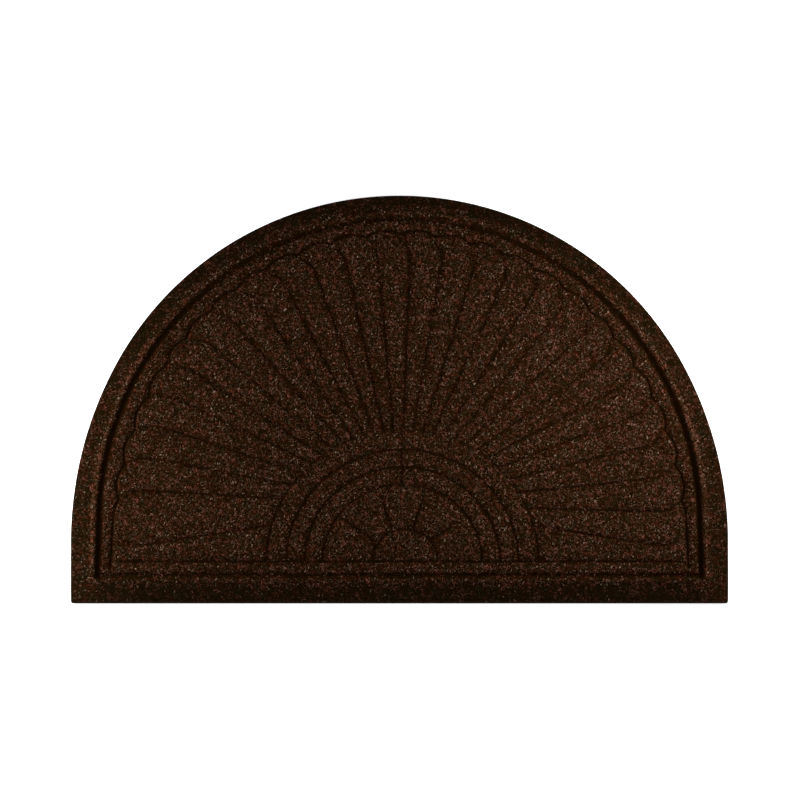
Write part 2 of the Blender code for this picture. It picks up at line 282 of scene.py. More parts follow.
def pressed_line(points, kind, strength=1.0, widths=1.0, shade_share=1.0):
    """One groove as rows of straight pieces.

    A row holds x, up, half width and floor for both ends, then how much painted shade darkens the
    bottom, how much it darkens the felt beside it, and how far each of the two reaches. A shade share
    under 1 makes both painted shades lighter.
    """
    widths = np.broadcast_to(widths, len(points))
    strength = np.broadcast_to(strength, len(points))
    floor = FACE_TOP - (FACE_TOP - FLOOR[kind]) * strength
    ends = np.column_stack([points, HALF_WIDTH[kind] * widths, floor])
    upwards = steepness(np.diff(points, axis=0))
    pairs = BOTTOM_PAINTED_SHADE[kind], BESIDE_PAINTED_SHADE[kind]
    dark = [shade_share * strength[1:] * (across + (up - across) * upwards) for across, up in pairs]
    reach = [full * widths[1:] for full in (HALF_WIDTH[kind] * DARK_CORE[kind], BESIDE_REACH[kind])]
    return np.column_stack([ends[:-1], ends[1:], *dark, *reach])


def fan_groove(angle_deg, turn):
    """A straight groove away from the outer ring, whose last part curls as the square of its length.

    In the photograph the slanting grooves are the faintest, so those get a little less painted shade.
    The share is given.
    """
    start = ring_from_fan(angle_deg)
    stop = lobe_top(angle_deg) - GROOVE_STOP
    straight_part = np.linspace(start, stop - HOOK_LENGTH, 8)
    hook = stop - HOOK_LENGTH * np.linspace(0.8, 0.0, 5)
    radius = np.concatenate([straight_part, hook])
    bent = np.clip((radius - stop + HOOK_LENGTH) / HOOK_LENGTH, 0.0, 1.0)
    strength = np.where(radius < stop, 1.0, TIP_STRENGTH)
    widths = np.linspace(FAN_NARROW, 1.0, len(radius))
    # painted shade: the slanting grooves get a little less of it
    shade_share = 1.0 - SLANT_FADE * math.sin(math.radians(2.0 * angle_deg)) ** 2
    return pressed_line(polar(angle_deg + turn * bent**2, radius), "fan", strength, widths, shade_share)


def mirrored(points):
    """The same points on the other side of the mat."""
    return points * (-1.0, 1.0)


scallop_angles = np.arange(SCALLOP_ENDS[0], SCALLOP_ENDS[1], PITCH / 10)
scallop_line = polar(scallop_angles, scallop(scallop_angles))
lines = [
    pressed_line(outer_groove, "outer"),
    pressed_line(scallop_line, "scallop"),
    pressed_line(SIDE_LINE, "scallop"),
    pressed_line(mirrored(SIDE_LINE), "scallop"),
    pressed_line(np.array([(x, LEDGE_UP) for x in LEDGE_ENDS]), "ledge"),
]
lines += [fan_groove(angle, turn) for angle, turn in zip(groove_angles, hook_turns)]
half_turn = np.linspace(0.0, 180.0, 97)
for name in RINGS:
    strength = outer_ring_strength(half_turn) if name == "outer" else 1.0
    lines.append(pressed_line(ring(name, half_turn), "ring", strength))
lines.append(pressed_line(polar(half_turn, hub_radius(half_turn), RING_CENTRE), "hub"))
for angle, reach in RAY_REACH.items():
    along = np.linspace(RAY_START, reach, len(RAY_STRENGTHS))
    lines.append(pressed_line(polar(angle, along, RING_CENTRE), "hub", RAY_STRENGTHS))
tick_up = np.array([RING_CENTRE[1] + half * RING_SQUASH for half in RINGS.values()])
tick = np.column_stack([np.full(len(tick_up), TICK_X), tick_up])
lines.append(pressed_line(tick, "hub", TICK_STRENGTHS))
PRESSED = np.vstack(lines)
print("pressed lines:", len(lines), "straight pieces:", len(PRESSED))

# %% [markdown]
# The height of the face
#
# Between two grooves the felt swells by a millimetre or two. Outside the outer groove the border
# falls from a lip to a thin shelf. Each groove pulls the felt down to its floor with a smooth bell,
# and where grooves meet the lowest wins. Only the pieces near a point can matter to it, so the plan
# is cut into tiles and each tile looks at the few pieces within reach: the same result, some twenty
# times faster.
#
# The same walk over the tiles gives three more numbers. The photographed grooves are darker than
# this relief and these lamps alone make them, so part of their darkness is painted shade, set by
# trial for each kind of groove. Each point learns how much painted shade darkens it, how far out on
# the border it lies, and how hard it is pressed.

# %% Height of the felt
SWELL, SWELL_REACH = 0.0016, 0.0130
LIP_OUT = (0.0, 0.0075, 0.0120, 0.0170)
LIP_UP = (0.0090, 0.0087, 0.0062, 0.0050)
SHELF_TOP, RIM_TOP, RIM_ROUND = 0.0036, 0.0028, 0.0022
# where the border's darkening starts and fades in, and its share on the flanks: part its own browner
# felt, part painted shade
BORDER_FROM, BORDER_FADE, SIDE_BORDER = 0.0085, 0.0120, 0.55
# the painted highlight on the flanks' lip: how far out from the groove it lies, and its half width
HIGHLIGHT_CREST_OUT, HIGHLIGHT_CREST_HALF = 0.0085, 0.0060
FULLY_PRESSED = 1.3
TILE, HALF_DIAGONAL = 0.040, 0.71
GROOVE_REACH, BORDER_REACH = 0.015, 0.060


def distance_to(points, pieces):
    """Distance from each point to each straight piece, and how far along the piece that is."""
    run = (pieces[:, 4:6] - pieces[:, :2])[None]
    offset = points[:, None] - pieces[None, :, :2]
    along = np.clip((offset * run).sum(2) / np.maximum((run**2).sum(2), 1e-18), 0.0, 1.0)
    gap = offset - along[..., None] * run
    return np.hypot(gap[..., 0], gap[..., 1]), along


def reach_of(line):
    """A function that gives how far out a closed line lies from the fan's centre at an angle."""
    length = np.concatenate([[0.0], np.cumsum(np.hypot(*np.diff(line, axis=0).T))])
    at = np.unique(np.concatenate([length, np.arange(0.0, length[-1], 0.001)]))
    points = np.column_stack([np.interp(at, length, line[:, 0]), np.interp(at, length, line[:, 1])])
    angle, distance = around(points)
    order = np.argsort(angle)
    return lambda angle_deg: np.interp(angle_deg, angle[order], distance[order])


rim_reach = reach_of(rim_line)
groove_reach = reach_of(outer_groove)
# the tables that a tile looks at, and how far from a tile a piece can still matter
TABLES = (
    (PRESSED, GROOVE_REACH),
    (pressed_line(rim_line, "outer"), BORDER_REACH),
    (lines[0], BORDER_REACH),
)


def bell(share):
    """1 at 0, 0 from 1 on, level at both: the cross section of a pressed groove."""
    share = np.clip(share, 0.0, 1.0)
    return (1.0 - share) ** 2 * (1.0 + 2.0 * share)


def felt_in_tile(points, pieces, rim_pieces, groove_pieces):
    """Height of the felt, then from 0 to 1 its painted shade, how far out on the border, how pressed.

    The border's number browns the felt, partly its own pressed colour and partly painted shade,
    weaker on the two flanks, where the side lamps fall. It falls below 0 on the flanks' lip, where it
    shows more flecks as a painted highlight.
    """
    gap, along = distance_to(points, pieces)
    nearest = gap.min(1) if len(pieces) else np.full(len(points), SWELL_REACH)
    rising = 1.0 - np.clip(nearest / SWELL_REACH, 0.0, 1.0)
    height = FACE_TOP - SWELL * rising**2
    thin, border = np.zeros((2, len(points)))
    angle, distance = around(points)
    outside = distance > groove_reach(angle)
    if outside.any():
        beyond = points[outside]
        to_pieces = distance_to(beyond, groove_pieces)[0]
        to_groove = to_pieces.min(1)
        upwards = steepness(groove_pieces[:, 4:6] - groove_pieces[:, :2])[to_pieces.argmin(1)]
        to_rim = distance_to(beyond, rim_pieces)[0].min(1)
        past = np.maximum(to_groove - LIP_OUT[-1], 0.0)
        shelf = SHELF_TOP + (LIP_UP[-1] - SHELF_TOP) * to_rim / np.maximum(to_rim + past, 1e-9)
        level = np.where(to_groove < LIP_OUT[-1], np.interp(to_groove, LIP_OUT, LIP_UP), shelf)
        level -= (SHELF_TOP - RIM_TOP) * np.clip(1.0 - to_rim / RIM_ROUND, 0.0, 1.0) ** 2
        height[outside] = level
        thin[outside] = np.clip((LIP_UP[0] - level) / (LIP_UP[0] - SHELF_TOP), 0.0, 1.0)
        # the border browns, partly its own pressed felt and partly painted shade, less on the flanks
        fade = np.clip((to_groove - BORDER_FROM) / BORDER_FADE, 0.0, 1.0)
        border[outside] = fade * (1.0 + (SIDE_BORDER - 1.0) * upwards)
        # painted highlight: the flanks' lip, lit by the side lamps, shows more flecks
        border[outside] -= upwards * bell(np.abs(to_groove - HIGHLIGHT_CREST_OUT) / HIGHLIGHT_CREST_HALF)
    half, floor = (pieces[:, k] * (1.0 - along) + pieces[:, 4 + k] * along for k in (2, 3))
    bottom, beside, core, reach = pieces[:, 8:].T
    fall = np.minimum(floor - height[:, None], 0.0) * bell(gap / half)
    deepest = fall.min(1, initial=0.0)
    # painted shade in and beside the grooves, on top of what the relief and lamps give
    in_groove = (bottom * bell(gap / core)).max(1, initial=0.0)
    by_groove = (beside * bell(gap / reach)).max(1, initial=0.0)
    dark = 1.0 - (1.0 - in_groove) * (1.0 - by_groove)
    pressed = np.clip((thin - deepest / (FACE_TOP - FLOOR["fan"])) / FULLY_PRESSED, 0.0, 1.0)
    return height + deepest, dark, border, pressed


def felt(points):
    """Height, darkness, border and pressing of the felt at any points of the plan, tile by tile."""
    found = np.zeros((4, len(points)))
    tile = np.floor(points / TILE).astype(int)
    order = np.lexsort(tile.T)
    ends = np.flatnonzero(np.any(np.diff(tile[order], axis=0), axis=1)) + 1
    for members in np.split(order, ends):
        centre = (tile[members[0]] + 0.5) * TILE
        near = [
            table[distance_to(centre[None], table)[0][0] < reach + TILE * HALF_DIAGONAL]
            for table, reach in TABLES
        ]
        found[:, members] = felt_in_tile(points[members], *near)
    return found


# %% [markdown]
# A net that follows the pattern
#
# A square grid would cut every slanting groove into steps. Here the columns of the net run along the
# grooves of the fan, hooks included, and its rows run along the scallops, the rings and the rim, with
# points set closest where the felt bends. Three nets are sewn together without a seam: the fan with
# its rib and border, the rosette, and the strip under the ledge.

# %% Rows and columns
IN_GROOVE = (1 / 3, 2 / 3, 1.0)
OVER_PETAL = (0.14, 0.30, 0.50, 0.74, 1.0)
SHOULDER_ROWS = (0.0014, 0.0028, 0.0042)
OUTER_ROWS = (0.0018, 0.0036, 0.0054, 0.0072)
LIP_ROWS = (0.0018, 0.0036, 0.0054, 0.0075, 0.0097, 0.0120, 0.0145, 0.0170)
RIM_ROWS = (0.0004, 0.0009, 0.0015, 0.0022)


def stations(length, near, far, steps):
    """Distances across a gap: some fixed ones at each end, and equal steps between them."""
    length = np.atleast_1d(length)
    ends = np.array(near)[:, None] + 0.0 * length
    others = length - np.array((0.0,) + far)[::-1, None]
    share = np.linspace(0.0, 1.0, steps + 1)[1:-1, None]
    middle = near[-1] + (length - near[-1] - far[-1]) * share
    return np.vstack([ends, middle, others])


def petal_shares(first, second):
    """Places across a petal whose grooves take up these shares of its width at its two sides."""
    right = [first * s for s in (0.0,) + IN_GROOVE] + [first + (0.5 - first) * s for s in OVER_PETAL]
    left = [1.0 - second * s for s in IN_GROOVE[::-1]] + [1.0 + 0.0 * second]
    over = [1.0 - second - (0.5 - second) * s for s in OVER_PETAL[-2::-1]]
    return np.stack(right + over + left, -1)


side_line = np.vstack([SIDE_LINE, scallop_line, mirrored(SIDE_LINE)[::-1]])
scallop_reach = reach_of(side_line)
GRID_TURNS = np.where(
    np.abs(groove_angles - 90.0) > 95.0, hook_turns, FIRST_CUSP - FIRST_GROOVE
)


def rows_out(angle_start, angle_end):
    """Distances from the fan's centre of every row, from the outer ring to the rim."""
    ring_at, cusp_at = ring_from_fan(angle_start), scallop_reach(angle_end)
    groove_at, rim_at = groove_reach(angle_end), rim_reach(angle_end)
    return np.vstack([
        ring_at[None],
        ring_at + stations(cusp_at - ring_at, SHOULDER_ROWS, SHOULDER_ROWS, 84),
        cusp_at + stations(groove_at - cusp_at, SHOULDER_ROWS, OUTER_ROWS, 3),
        groove_at + stations(rim_at - groove_at, LIP_ROWS, RIM_ROWS, 6),
    ])


FAN_ROWS = 1 + len(stations(1.0, SHOULDER_ROWS, SHOULDER_ROWS, 84))
straight = rows_out(groove_angles, groove_angles + GRID_TURNS)
stop = lobe_top(groove_angles) - GROOVE_STOP
bent = np.clip((straight - stop + HOOK_LENGTH) / HOOK_LENGTH, 0.0, 1.0)
groove_rows = groove_angles + GRID_TURNS * bent**2
print("rows from ring to rim:", len(straight))

# %% Net of the fan, the rib and the border
row_share = np.linspace(0.0, 1.0, FAN_ROWS)
row_half = HALF_WIDTH["fan"] * (FAN_NARROW + (1.0 - FAN_NARROW) * row_share)
row_half = np.concatenate([row_half, np.full(len(straight) - FAN_ROWS, HALF_WIDTH["fan"])])


def fan_petal(k):
    """Points between two grooves of the fan: angles are shared out row by row, distances follow."""
    first, second = groove_rows[:, k], groove_rows[:, k + 1]
    width = np.radians(second - first) * straight[:, k]
    share = np.minimum(row_half / width, 0.2)
    share[FAN_ROWS:] = share[FAN_ROWS - 1]
    angle = first[:, None] + (second - first)[:, None] * petal_shares(share, share)
    return polar(angle, rows_out(angle[0], angle[-1]))


def low_petal(groove, sign):
    """Points between a low groove and the ledge, with their inner row bent along the outer ring."""
    upper = polar(groove_rows[:, groove], straight[:, groove])
    ring_end = RING_CENTRE[0] + sign * RINGS["outer"]
    crossings = []
    for line in (SIDE_LINE, outer_groove[:2], rim_line[:2]):
        ordered = line[np.argsort(line[:, 1])]
        crossings.append(sign * np.interp(LEDGE_UP, ordered[:, 1], ordered[:, 0]))
    side, groove_x, rim_x = crossings
    gaps = [abs(side - ring_end), abs(groove_x - side), abs(rim_x - groove_x)]
    x = np.vstack([
        [[ring_end]],
        ring_end + sign * stations(gaps[0], SHOULDER_ROWS, SHOULDER_ROWS, 84),
        side + sign * stations(gaps[1], SHOULDER_ROWS, OUTER_ROWS, 3),
        groove_x + sign * stations(gaps[2], LIP_ROWS, RIM_ROWS, 6),
    ])
    lower = np.column_stack([x[:, 0], np.full(len(x), LEDGE_UP)])
    width = np.linalg.norm(upper - lower, axis=1)
    at_groove = np.minimum(row_half / width, 0.2)
    at_ledge = np.minimum(HALF_WIDTH["ledge"] / width, 0.3)
    share = petal_shares(at_groove, at_ledge)[..., None]
    points = upper[:, None] * (1.0 - share) + lower[:, None] * share
    low_angle = 0.0 if sign > 0 else 180.0
    ring_angle = around(upper[:1], RING_CENTRE)[0]
    on_ring = ring("outer", ring_angle + (low_angle - ring_angle) * share[0, :, 0])
    fade = np.clip(1.0 - np.arange(len(x)) / (FAN_ROWS - 1), 0.0, 1.0)[:, None, None]
    points += fade * (on_ring - points[0])
    return points


petals = [low_petal(0, 1.0)[:, ::-1]]
petals += [fan_petal(k) for k in range(len(groove_angles) - 1)]
petals += [low_petal(len(groove_angles) - 1, -1.0)]
fan_net = np.concatenate([petals[0]] + [petal[:, 1:] for petal in petals[1:]], axis=1)
print("net of the fan:", fan_net.shape[0], "rows by", fan_net.shape[1], "columns")

# %% Net of the rosette
HUB_ROWS = (0.0014, 0.0028, 0.0040)
RING_STEPS = {"third": 8, "second": 7, "inner": 7}
ring_points = fan_net[0, ::2]
ring_angle, ring_at = around(ring_points, RING_CENTRE)
ring_angle[[0, -1]] = (0.0, 180.0)
rosette_rows = []
for name, steps in RING_STEPS.items():
    next_at = ring_radius(name, ring_angle)
    rosette_rows.append(ring_at - stations(ring_at - next_at, SHOULDER_ROWS, SHOULDER_ROWS, steps))
    ring_at = next_at
hub_at = hub_radius(ring_angle)
rosette_rows.append(ring_at - stations(ring_at - hub_at, SHOULDER_ROWS, HUB_ROWS, 22))
rosette_net = polar(ring_angle, np.vstack(rosette_rows), RING_CENTRE)
inner_hub = hub_at[::4] - np.vstack([
    np.array(HUB_ROWS)[:, None] + 0.0 * hub_at[::4],
    HUB_ROWS[-1] + (hub_at[::4] - HUB_ROWS[-1]) * np.linspace(0.0, 1.0, 14)[1:-1, None],
])
hub_net = polar(ring_angle[::4], inner_hub, RING_CENTRE)
print("net of the rosette:", rosette_net.shape[:2], "and of the hub:", hub_net.shape[:2])

# %% Points and faces, sewn together
class Net:
    """Points of the plan and the faces between them, gathered block by block."""

    def __init__(self):
        self.points, self.faces, self.count = [], [], 0

    def add(self, points):
        """Takes an array of points and returns their numbers in the same arrangement."""
        numbers = self.count + np.arange(points[..., 0].size).reshape(points.shape[:-1])
        self.points.append(points.reshape(-1, points.shape[-1]))
        self.count += numbers.size
        return numbers

    def weave(self, numbers):
        """Four-sided faces over a grid of numbers whose rows run outwards and columns leftwards."""
        corners = (numbers[:-1, :-1], numbers[1:, :-1], numbers[1:, 1:], numbers[:-1, 1:])
        self.faces.append(np.stack(corners, -1).reshape(-1, 4))

    def step(self, fine, coarse):
        """Faces between a row of many points and, inside it, a row with only every few of them."""
        every = (len(fine) - 1) // (len(coarse) - 1)
        outer = [fine[k : len(fine) - every + k : every] for k in range(every + 1)]
        self.faces.append(np.stack([coarse[:-1], *outer, coarse[1:]], -1))

    def all_points(self):
        return np.vstack(self.points)


net = Net()
fan = net.add(fan_net)
net.weave(fan)
rosette = net.add(rosette_net)
net.weave(rosette[::-1])
net.step(fan[0], rosette[0])
hub = net.add(hub_net)
net.weave(hub[::-1])
net.step(rosette[-1], hub[0])
pole = net.add(RING_CENTRE[None])
net.faces.append(np.stack([np.full(hub.shape[1] - 1, pole[0]), hub[-1, :-1], hub[-1, 1:]], -1))

# %% Strip under the ledge
ledge_row = np.concatenate([
    fan[::-1, 0], rosette[:, 0], hub[:, 0], pole, hub[::-1, -1], rosette[::-1, -1], fan[:, -1]
])
ledge_x = net.all_points()[ledge_row, 0]
LEDGE_ROWS = (0.0013, 0.0026, 0.0038)
down = np.concatenate([
    stations(LEDGE_UP - GROOVE_FOOT, LEDGE_ROWS, OUTER_ROWS, 3)[:, 0],
    LEDGE_UP - GROOVE_FOOT + stations(GROOVE_FOOT, LIP_ROWS, RIM_ROWS, 7)[:, 0],
])
LEAN_AT = (0.0, SIDE_LINE[0, 0], abs(ledge_x[np.argmin(np.abs(ledge_x - 0.4535))]), WIDTH / 2)
foot_half = GROOVE_ARCH[0] + GROOVE_LEAN
lean = np.interp(np.abs(ledge_x), LEAN_AT, (0.0, 0.0, foot_half - LEAN_AT[2], 0.0)) * np.sign(ledge_x)
lean_share = np.clip(down / (LEDGE_UP - GROOVE_FOOT), 0.0, 1.0)[:, None]
strip_x = ledge_x[None] + lean[None] * lean_share
strip_up = np.broadcast_to(LEDGE_UP - down[:, None], strip_x.shape)


def rounded_corners(x, up):
    """Bends the grid's corner cells onto a quarter disc, by the elliptical map of square to disc."""
    a = np.clip((np.abs(x) - WIDTH / 2 + CORNER_RADIUS) / CORNER_RADIUS, 0.0, 1.0)
    b = np.clip((CORNER_RADIUS - up) / CORNER_RADIUS, 0.0, 1.0)
    round_a, round_b = a * np.sqrt(1.0 - b * b / 2.0), b * np.sqrt(1.0 - a * a / 2.0)
    x = x + np.sign(x) * (round_a - a) * CORNER_RADIUS
    return np.stack([x, up - (round_b - b) * CORNER_RADIUS], -1)


strip = np.vstack([ledge_row[None], net.add(rounded_corners(strip_x, strip_up))])
net.weave(strip[::-1])
print("strip:", strip.shape, "points so far:", net.count)

# %% [markdown]
# The mat's mesh
#
# The net lies flat so far. Each point now gets its height. The rim's wall drops from the outermost
# points to the floor, and one flat face closes the back. Three numbers are kept on every point for
# the finish: how much painted shade darkens the felt there, how far out on the border it is, and how
# hard it is pressed. The border's number browns the felt, partly as its own colour and partly as
# painted shade. The finish reads them by name, so the colours follow every groove exactly.

# %% Raise the face, close the back
WALL = ((0.0018, 0.0), (0.0007, 0.0), (0.0, 0.0005))


def new_mesh(name, points, faces, attributes=()):
    """A mesh from an array of points and arrays of faces, one array for each number of corners."""
    mesh = bpy.data.meshes.new(name)
    corners = np.concatenate([block.ravel() for block in faces])
    sizes = np.concatenate([np.full(len(block), block.shape[1]) for block in faces])
    mesh.vertices.add(len(points))
    mesh.vertices.foreach_set("co", np.asarray(points, np.float32).ravel())
    mesh.loops.add(len(corners))
    mesh.loops.foreach_set("vertex_index", corners.astype(np.int32))
    mesh.polygons.add(len(sizes))
    starts = np.concatenate([[0], np.cumsum(sizes)[:-1]])
    mesh.polygons.foreach_set("loop_start", starts.astype(np.int32))
    for title, values in attributes:
        layer = mesh.attributes.new(title, "FLOAT", "POINT")
        layer.data.foreach_set("value", np.asarray(values, np.float32))
    mesh.update(calc_edges=True)
    mesh.validate()
    mesh.shade_smooth()
    return mesh


def show(name, mesh, *materials):
    """Puts a mesh in the scene as an object of its own."""
    piece = bpy.data.objects.new(name, mesh)
    for material in materials:
        mesh.materials.append(material)
    bpy.context.scene.collection.objects.link(piece)
    return piece


def placed(plan, height):
    """Plan points and heights as points of the scene, whose origin is the middle of the mat."""
    return np.column_stack([plan[:, 0], plan[:, 1] - DEPTH / 2, height])


face_plan = net.all_points()
height, dark, border, pressed = felt(face_plan)
edge = np.concatenate([fan[-1], strip[1:, -1], strip[-1, -2::-1], strip[-2:0:-1, 0]])
edge_plan = face_plan[edge]
inward = (np.array([0.0, DEPTH / 2]) - edge_plan)
inward /= np.linalg.norm(inward, axis=1, keepdims=True)
wall = [edge]
mat_points = [placed(face_plan, height)]
for level, inset in WALL:
    wall.append(net.add(edge_plan + inward * inset))
    mat_points.append(placed(edge_plan + inward * inset, np.full(len(edge), level)))
wall = np.array(wall)
net.weave(np.column_stack([wall, wall[:, 0]]))
base = wall[-1][::-1][None]
kept = {"dark": dark, "border": border, "pressed": pressed}
mat_mesh = new_mesh(
    "felt_mat",
    np.vstack(mat_points),
    net.faces + [base],
    [(title, np.concatenate([values] + [values[edge]] * len(WALL))) for title, values in kept.items()],
)
triangles = sum(len(face.vertices) - 2 for face in mat_mesh.polygons)
print("mat:", len(mat_mesh.vertices), "points,", triangles, "triangles")

# %% [markdown]
# Shader maths as expressions
#
# Blender's materials are graphs of nodes. Written out node by node they are hard to read, so one
# small class stands for the end of a wire, and adding or multiplying wires adds the Math nodes.
# A second class makes a material, and adds any other node with one method.

# %% Wires and finishes
class Wire:
    """A number that comes out of a node. Arithmetic on it adds Math nodes to the same tree."""

    def __init__(self, tree, socket):
        self.tree, self.socket = tree, socket

    def math(self, operation, *values):
        node = self.tree.nodes.new("ShaderNodeMath")
        node.operation = operation
        for socket, value in zip(node.inputs, values):
            if isinstance(value, Wire):
                self.tree.links.new(value.socket, socket)
            else:
                socket.default_value = value
        return Wire(self.tree, node.outputs[0])

    def __add__(self, other):
        return self.math("ADD", self, other)

    def __sub__(self, other):
        return self.math("SUBTRACT", self, other)

    def __rsub__(self, other):
        return self.math("SUBTRACT", other, self)

    def __mul__(self, other):
        return self.math("MULTIPLY", self, other)

    __radd__ = __add__
    __rmul__ = __mul__

    def between(self, start, end):
        """0 below start and 1 above end, rising evenly: a soft threshold."""
        return Finish.of(self.tree).node(
            "ShaderNodeMapRange", {"clamp": True}, {"Value": self, "From Min": start, "From Max": end}
        )


class Finish:
    """A material whose nodes are added with node(type, settings, sockets)."""

    def __init__(self, name):
        self.material = bpy.data.materials.new(name)
        self.material.use_nodes = True
        self.tree = self.material.node_tree
        self.shader = self.tree.nodes["Principled BSDF"]

    @classmethod
    def of(cls, tree):
        finish = cls.__new__(cls)
        finish.tree = tree
        return finish

    def node(self, kind, settings=None, sockets=None, out=0):
        """Adds a node: its settings first, then the value or wire of each named socket."""
        node = self.tree.nodes.new(kind)
        for title, value in (settings or {}).items():
            if title == "stops":
                self.set_stops(node.color_ramp, value)
            else:
                setattr(node, title, value)
        for title, value in (sockets or {}).items():
            self.feed(node.inputs[title], value)
        return Wire(self.tree, node.outputs[out])

    def feed(self, socket, value):
        """Links a wire to a socket, or sets the socket to a plain value."""
        if isinstance(value, Wire):
            self.tree.links.new(value.socket, socket)
        else:
            socket.default_value = value

    @staticmethod
    def set_stops(ramp, stops):
        while len(ramp.elements) < len(stops):
            ramp.elements.new(1.0)
        for element, (place, colour) in zip(ramp.elements, stops):
            element.position = place
            element.color = (*colour, 1.0)

    def mix(self, share, first, second, blend="MIX"):
        """Blends two colours, each a wire or three numbers."""
        node = self.tree.nodes.new("ShaderNodeMix")
        node.data_type, node.blend_type = "RGBA", blend
        self.feed(node.inputs[0], share)
        for socket, value in ((node.inputs[6], first), (node.inputs[7], second)):
            self.feed(socket, value if isinstance(value, Wire) else (*value, 1.0))
        return Wire(self.tree, node.outputs[2])

    def places(self):
        """Object coordinates, in metres."""
        return self.node("ShaderNodeTexCoord", out="Object")

    def along(self, where, turn, length, width):
        """Coordinates in which something this long and wide, turned this far, measures one by one."""
        return self.node(
            "ShaderNodeMapping",
            {"vector_type": "TEXTURE"},
            {"Vector": where, "Rotation": (0.0, 0.0, math.radians(turn)), "Scale": (length, width, 1.0)},
        )

    def wander(self, where, per_metre, reach):
        """Shifts each place a little by soft noise, so that lines drawn there aren't straight."""
        soft = {"Vector": where, "Scale": per_metre, "Detail": 1.0}
        cloud = self.node("ShaderNodeTexNoise", None, soft, "Color")
        return self.node(
            "ShaderNodeVectorMath",
            {"operation": "MULTIPLY_ADD"},
            {0: cloud, 1: (reach, reach, 0.0), 2: where},
        )

    def noise(self, where, per_metre, detail=2.0, rough=0.55):
        """Soft cloudy noise with this many features to the metre."""
        return self.node(
            "ShaderNodeTexNoise",
            None,
            {"Vector": where, "Scale": per_metre, "Detail": detail, "Roughness": rough},
        )

    def attribute(self, title):
        """A number kept on the mesh's points."""
        return self.node("ShaderNodeAttribute", {"attribute_name": title}, out="Fac")


# %% [markdown]
# The felt
#
# The felt is a blend of fibres: mostly dark brown, with tufts of rust, tan and cream that show as
# flecks a millimetre or two across. Seen from above they look like coloured sand. One noise pattern
# could give such a grain, but not its colours, which change from fleck to fleck. So five layers of
# stretched Voronoi cells lie over a dull ground, each turned its own way, and each cell picks its
# own dye. The reds gather in clumps. In the grooves painted shade makes the felt darker and shows
# fewer flecks. On the border it turns browner and darker, partly its own pressed colour and partly
# painted shade, and the flanks' lip shows more flecks as a painted highlight. It is so dark and
# rough that it has no gloss of its own.

# %% Felt finish
# the colour that the grooves' painted shade darkens the felt and fibres towards
PAINTED_GROOVE_SHADE = (0.0030, 0.0008, 0.0001)
NIGHT = (0.0041, 0.0012, 0.0001)
DARK_RED = (0.0108, 0.0026, 0.0002)
DARK_TAN = (0.0072, 0.0039, 0.0005)
BRICK = (0.0350, 0.0096, 0.0034)
BARK = (0.0207, 0.0137, 0.0062)
ROSE = (0.0660, 0.0265, 0.0165)
HAZEL = (0.0490, 0.0310, 0.0185)
RUST = (0.0800, 0.0240, 0.0135)
PINK = (0.1420, 0.0640, 0.0490)
SAND = (0.2350, 0.1580, 0.1150)
BLUSH = (0.1400, 0.0450, 0.0310)
# the border's darker brown, partly its own pressed felt and partly painted shade, and how far it goes
DUSK = (0.0026, 0.0025, 0.0012)
BORDER_DUSK = 0.44
REDS = ((0.0, NIGHT), (0.35, DARK_RED), (0.70, BRICK), (0.92, ROSE), (1.0, PINK))
TANS = ((0.0, NIGHT), (0.40, DARK_TAN), (0.72, BARK), (0.92, HAZEL), (1.0, SAND))
DULL_REDS = ((0.30, NIGHT), (0.50, DARK_RED), (0.75, BRICK))
DULL_TANS = ((0.30, NIGHT), (0.50, DARK_TAN), (0.75, BARK))
RUSTS = ((0.0, BRICK), (0.6, RUST), (1.0, BLUSH))
# fewer flecks on the border and under the grooves' painted shade; on the flanks' lip the border number
# falls below 0 and more show, a painted highlight
BORDER_FEWER, GROOVE_FEWER = 0.22, 0.75
# (turn in degrees, length, width, share of the surface, gathering in clumps, dyes)
# a share below 0 shows in the thickest clumps alone
FLECKS = (
    (12.0, 0.0030, 0.0013, 0.42, 2.0, REDS),
    (74.0, 0.0026, 0.0011, 0.26, -0.7, TANS),
    (131.0, 0.0032, 0.0012, 0.32, 2.0, REDS),
    (40.0, 0.0022, 0.0010, 0.18, -0.7, TANS),
    (98.0, 0.0028, 0.0012, -0.17, 2.8, RUSTS),
)


def flecks(finish, where, colour, layer, clumps, fewer):
    """Lays long cells over a colour: a share of them shows a dye, more in the clumps."""
    turn, length, width, share, gathering, stops = layer
    stretched = finish.along(where, turn, length, width)
    cells = finish.node("ShaderNodeTexVoronoi", None, {"Vector": stretched, "Scale": 1.0}, "Color")
    split = finish.node("ShaderNodeSeparateColor", None, {"Color": cells})
    chance, tone = (Wire(finish.tree, split.socket.node.outputs[title]) for title in ("Red", "Green"))
    dye = finish.node("ShaderNodeValToRGB", {"stops": stops}, {"Fac": tone})
    chosen = chance + (clumps - 0.5) * gathering - fewer
    return finish.mix(chosen.between(1.0 - share - 0.02, 1.0 - share + 0.02), colour, dye)


CLUMPS, HUES, TUFTS, LUMPS, FUZZ = 110.0, 480.0, 650.0, 330.0, 900.0  # features to the metre
WANDER, WANDER_REACH = 160.0, 0.004
FUZZ_HEIGHT, FUZZ_STRENGTH = 0.0014, 0.45


